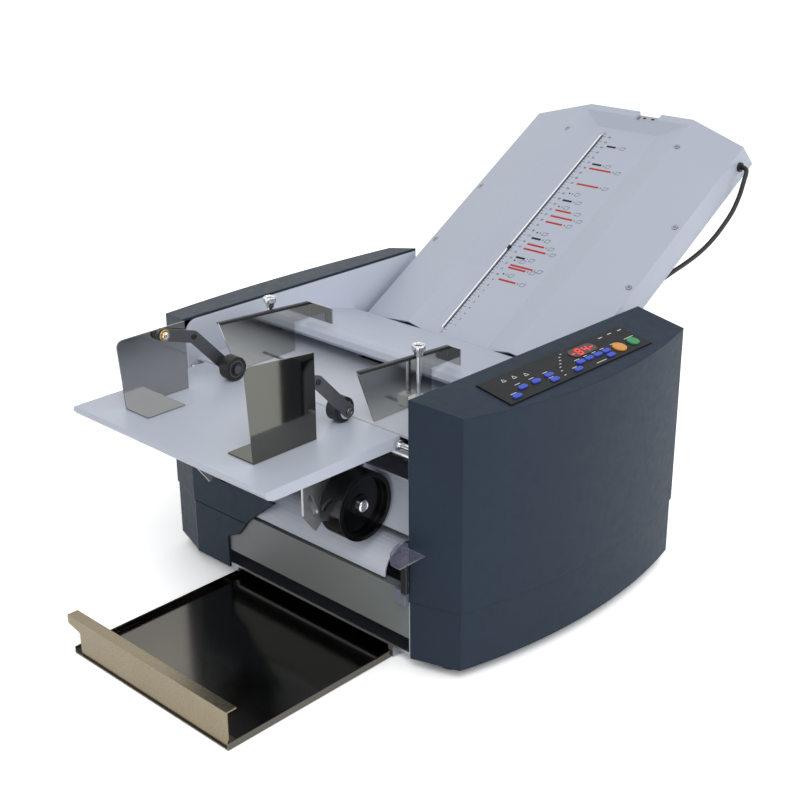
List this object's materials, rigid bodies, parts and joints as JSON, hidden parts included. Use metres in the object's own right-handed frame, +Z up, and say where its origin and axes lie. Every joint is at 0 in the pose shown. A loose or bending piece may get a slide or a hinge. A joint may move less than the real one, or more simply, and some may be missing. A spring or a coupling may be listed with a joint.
{
  "type": "paper folding machine",
  "caption": "Desk-top paper folder with a feed tray, roller arms, side guides, a sloping fold plate, a keypad, delivery wheels and a stacker tray.",
  "frame": {"origin": "on the desk, under the middle of the whole machine without its cable", "axes": "+X along the paper path from the feed tray to the fold plate, +Y across it towards the plain side, +Z up"},
  "size_m": [0.894, 0.5184, 0.49],
  "materials": {
    "dark_shell": "fine textured moulding",
    "light_shell": "smooth satin moulding",
    "pale_sheet": "smooth satin paint",
    "frame_steel": "plated sheet",
    "bright_steel": "mirror bright",
    "chrome": "polished",
    "brass": "machined",
    "clear_plastic": "clear smoky",
    "rubber": "matt",
    "black_gloss": "gloss",
    "black_part": "satin",
    "key_blue": "satin",
    "key_orange": "satin",
    "key_green": "satin",
    "window_red": "gloss",
    "board_green": "lacquered",
    "brown_pad": "matt",
    "cable_black": "satin"
  },
  "bodies": {
    "machine": {"base_plate": "frame_steel", "rubber_feet": "rubber", "side_frames": "frame_steel", "tie_bars": "chrome", "cover_near_upper": "dark_shell", "cover_near_lower": "dark_shell", "cover_far_upper": "dark_shell", "cover_far_lower": "dark_shell", "inner_walls": "light_shell", "front_apron": "light_shell", "keypad_plate": "black_gloss", "number_window": "window_red", "circuit_board": "board_green", "feed_hood": "light_shell", "feed_table": "pale_sheet", "separator_pad": "brown_pad", "drive_motor": "frame_steel", "second_fold_plate": "frame_steel", "wheel_brackets": "frame_steel", "delivery_guides": "light_shell", "fold_shell_upper": "light_shell", "fold_shell_lower": "light_shell", "fold_screws": "frame_steel", "cable_grommets": "black_part", "cable": "cable_black"},
    "feed_tray": {"feed_tray": "light_shell"},
    "tray_guide_near": {"tray_guide_near": "bright_steel"},
    "tray_guide_far": {"tray_guide_far": "bright_steel"},
    "roller_arm_near": {"roller_arm_near": "frame_steel"},
    "roller_arm_far": {"roller_arm_far": "frame_steel"},
    "paper_roller_near": {"paper_roller_near": "rubber"},
    "paper_roller_far": {"paper_roller_far": "rubber"},
    "front_guide_near": {"front_guide_near": "bright_steel"},
    "front_guide_far": {"front_guide_far": "bright_steel"},
    "clamp_knob_near": {"clamp_knob_near": "chrome"},
    "clamp_knob_far": {"clamp_knob_far": "chrome"},
    "feed_roller": {"feed_roller": "rubber"},
    "fold_roller_1": {"fold_roller_1": "frame_steel"},
    "fold_roller_2": {"fold_roller_2": "frame_steel"},
    "fold_roller_3": {"fold_roller_3": "frame_steel"},
    "fold_roller_4": {"fold_roller_4": "frame_steel"},
    "motor_pinion": {"motor_pinion": "brass"},
    "delivery_wheels": {"delivery_wheels": "black_gloss"},
    "fold_stop": {"fold_stop": "black_part"},
    "exit_guide": {"exit_guide": "clear_plastic"},
    "stacker_tray": {"stacker_tray": "bright_steel"},
    "stop_plate": {"stop_plate": "bright_steel"},
    "key_1": {"key_1": "key_blue"},
    "key_2": {"key_2": "key_blue"},
    "key_3": {"key_3": "key_blue"},
    "key_4": {"key_4": "key_blue"},
    "key_5": {"key_5": "key_blue"},
    "key_6": {"key_6": "key_blue"},
    "key_7": {"key_7": "key_blue"},
    "key_8": {"key_8": "key_blue"},
    "key_9": {"key_9": "key_blue"},
    "key_10": {"key_10": "key_blue"},
    "key_11": {"key_11": "key_blue"},
    "stop_key": {"stop_key": "key_orange"},
    "start_key": {"start_key": "key_green"}
  },
  "joints": [
    {"name": "feed_tray_lift", "type": "hinge", "parent": "machine", "child": "feed_tray", "pos_m": [-0.21049, 0.00895, 0.26], "axis": [0, 1, 0], "range_deg": [0, 15]},
    {"name": "tray_guide_near_slide", "type": "slide", "parent": "feed_tray", "child": "tray_guide_near", "axis": [0, 1, 0], "range_m": [-0.045, 0.035]},
    {"name": "tray_guide_far_slide", "type": "slide", "parent": "feed_tray", "child": "tray_guide_far", "axis": [0, 1, 0], "range_m": [-0.035, 0.045]},
    {"name": "roller_arm_near_swing", "type": "hinge", "parent": "tray_guide_near", "child": "roller_arm_near", "pos_m": [-0.30599, -0.08755, 0.3413], "axis": [0, -1, 0], "range_deg": [0, 50]},
    {"name": "roller_arm_far_swing", "type": "hinge", "parent": "tray_guide_far", "child": "roller_arm_far", "pos_m": [-0.30599, 0.11245, 0.3413], "axis": [0, -1, 0], "range_deg": [0, 50]},
    {"name": "paper_roller_near_spin", "type": "hinge", "parent": "roller_arm_near", "child": "paper_roller_near", "pos_m": [-0.22099, -0.07475, 0.2823], "axis": [0, 1, 0], "continuous": true},
    {"name": "paper_roller_far_spin", "type": "hinge", "parent": "roller_arm_far", "child": "paper_roller_far", "pos_m": [-0.22099, 0.09965, 0.2823], "axis": [0, 1, 0], "continuous": true},
    {"name": "front_guide_near_slide", "type": "slide", "parent": "machine", "child": "front_guide_near", "axis": [0, 1, 0], "range_m": [-0.03, 0.03]},
    {"name": "front_guide_far_slide", "type": "slide", "parent": "machine", "child": "front_guide_far", "axis": [0, 1, 0], "range_m": [-0.03, 0.03]},
    {"name": "clamp_knob_near_turn", "type": "hinge", "parent": "front_guide_near", "child": "clamp_knob_near", "pos_m": [-0.13699, -0.11005, 0.333], "axis": [0, 0, 1], "range_deg": [0, 180]},
    {"name": "clamp_knob_far_turn", "type": "hinge", "parent": "front_guide_far", "child": "clamp_knob_far", "pos_m": [-0.13699, 0.12795, 0.333], "axis": [0, 0, 1], "range_deg": [0, 180]},
    {"name": "feed_roller_spin", "type": "hinge", "parent": "machine", "child": "feed_roller", "pos_m": [-0.05599, 0.00895, 0.246], "axis": [0, 1, 0], "continuous": true},
    {"name": "fold_roller_2_spin", "type": "hinge", "parent": "machine", "child": "fold_roller_2", "pos_m": [0.03931, 0.00895, 0.19386], "axis": [0, 1, 0], "continuous": true},
    {"name": "fold_roller_1_spin", "type": "hinge", "parent": "machine", "child": "fold_roller_1", "pos_m": [0.01871, 0.00895, 0.22814], "axis": [0, 1, 0], "continuous": true},
    {"name": "fold_roller_3_spin", "type": "hinge", "parent": "machine", "child": "fold_roller_3", "pos_m": [0.02896, 0.00895, 0.15522], "axis": [0, 1, 0], "continuous": true},
    {"name": "fold_roller_4_spin", "type": "hinge", "parent": "machine", "child": "fold_roller_4", "pos_m": [-0.00968, 0.00895, 0.14487], "axis": [0, 1, 0], "continuous": true},
    {"name": "motor_pinion_spin", "type": "hinge", "parent": "machine", "child": "motor_pinion", "pos_m": [0.00632, 0.00895, 0.11715], "axis": [0, 1, 0], "continuous": true},
    {"name": "delivery_wheels_spin", "type": "hinge", "parent": "machine", "child": "delivery_wheels", "pos_m": [-0.22099, 0.00895, 0.178], "axis": [0, 1, 0], "continuous": true},
    {"name": "fold_stop_slide", "type": "slide", "parent": "machine", "child": "fold_stop", "axis": [0.8572, 0, 0.515], "range_m": [-0.142, 0.22]},
    {"name": "exit_guide_slide", "type": "slide", "parent": "machine", "child": "exit_guide", "axis": [0, 1, 0], "range_m": [0, 0.03]},
    {"name": "stacker_tray_slide", "type": "slide", "parent": "machine", "child": "stacker_tray", "axis": [1, 0, 0], "range_m": [0, 0.09]},
    {"name": "stop_plate_slide", "type": "slide", "parent": "stacker_tray", "child": "stop_plate", "axis": [1, 0, 0], "range_m": [0, 0.12]},
    {"name": "key_1_press", "type": "slide", "parent": "machine", "child": "key_1", "axis": [0, 0.1805, -0.9836], "range_m": [0, 0.0012], "stiffness_N_per_m": 300, "springref_m": -0.0008},
    {"name": "key_2_press", "type": "slide", "parent": "machine", "child": "key_2", "axis": [0, 0.1805, -0.9836], "range_m": [0, 0.0012], "stiffness_N_per_m": 300, "springref_m": -0.0008},
    {"name": "key_3_press", "type": "slide", "parent": "machine", "child": "key_3", "axis": [0, 0.1805, -0.9836], "range_m": [0, 0.0012], "stiffness_N_per_m": 300, "springref_m": -0.0008},
    {"name": "key_4_press", "type": "slide", "parent": "machine", "child": "key_4", "axis": [0, 0.1805, -0.9836], "range_m": [0, 0.0012], "stiffness_N_per_m": 300, "springref_m": -0.0008},
    {"name": "key_5_press", "type": "slide", "parent": "machine", "child": "key_5", "axis": [0, 0.1805, -0.9836], "range_m": [0, 0.0012], "stiffness_N_per_m": 300, "springref_m": -0.0008},
    {"name": "key_6_press", "type": "slide", "parent": "machine", "child": "key_6", "axis": [0, 0.1805, -0.9836], "range_m": [0, 0.0012], "stiffness_N_per_m": 300, "springref_m": -0.0008},
    {"name": "key_7_press", "type": "slide", "parent": "machine", "child": "key_7", "axis": [0, 0.1805, -0.9836], "range_m": [0, 0.0012], "stiffness_N_per_m": 300, "springref_m": -0.0008},
    {"name": "key_8_press", "type": "slide", "parent": "machine", "child": "key_8", "axis": [0, 0.1805, -0.9836], "range_m": [0, 0.0012], "stiffness_N_per_m": 300, "springref_m": -0.0008},
    {"name": "key_9_press", "type": "slide", "parent": "machine", "child": "key_9", "axis": [0, 0.1805, -0.9836], "range_m": [0, 0.0012], "stiffness_N_per_m": 300, "springref_m": -0.0008},
    {"name": "key_10_press", "type": "slide", "parent": "machine", "child": "key_10", "axis": [0, 0.1805, -0.9836], "range_m": [0, 0.0012], "stiffness_N_per_m": 300, "springref_m": -0.0008},
    {"name": "key_11_press", "type": "slide", "parent": "machine", "child": "key_11", "axis": [0, 0.1805, -0.9836], "range_m": [0, 0.0012], "stiffness_N_per_m": 300, "springref_m": -0.0008},
    {"name": "stop_key_press", "type": "slide", "parent": "machine", "child": "stop_key", "axis": [0, 0.1805, -0.9836], "range_m": [0, 0.0012], "stiffness_N_per_m": 300, "springref_m": -0.0008},
    {"name": "start_key_press", "type": "slide", "parent": "machine", "child": "start_key", "axis": [0, 0.1805, -0.9836], "range_m": [0, 0.0012], "stiffness_N_per_m": 300, "springref_m": -0.0008}
  ],
  "couplings": [
    {"joint": "fold_roller_1_spin", "follows": "fold_roller_2_spin", "ratio": -1},
    {"joint": "fold_roller_3_spin", "follows": "fold_roller_2_spin", "ratio": -1},
    {"joint": "fold_roller_4_spin", "follows": "fold_roller_2_spin", "ratio": 1},
    {"joint": "motor_pinion_spin", "follows": "fold_roller_2_spin", "ratio": -1.6667}
  ]
}
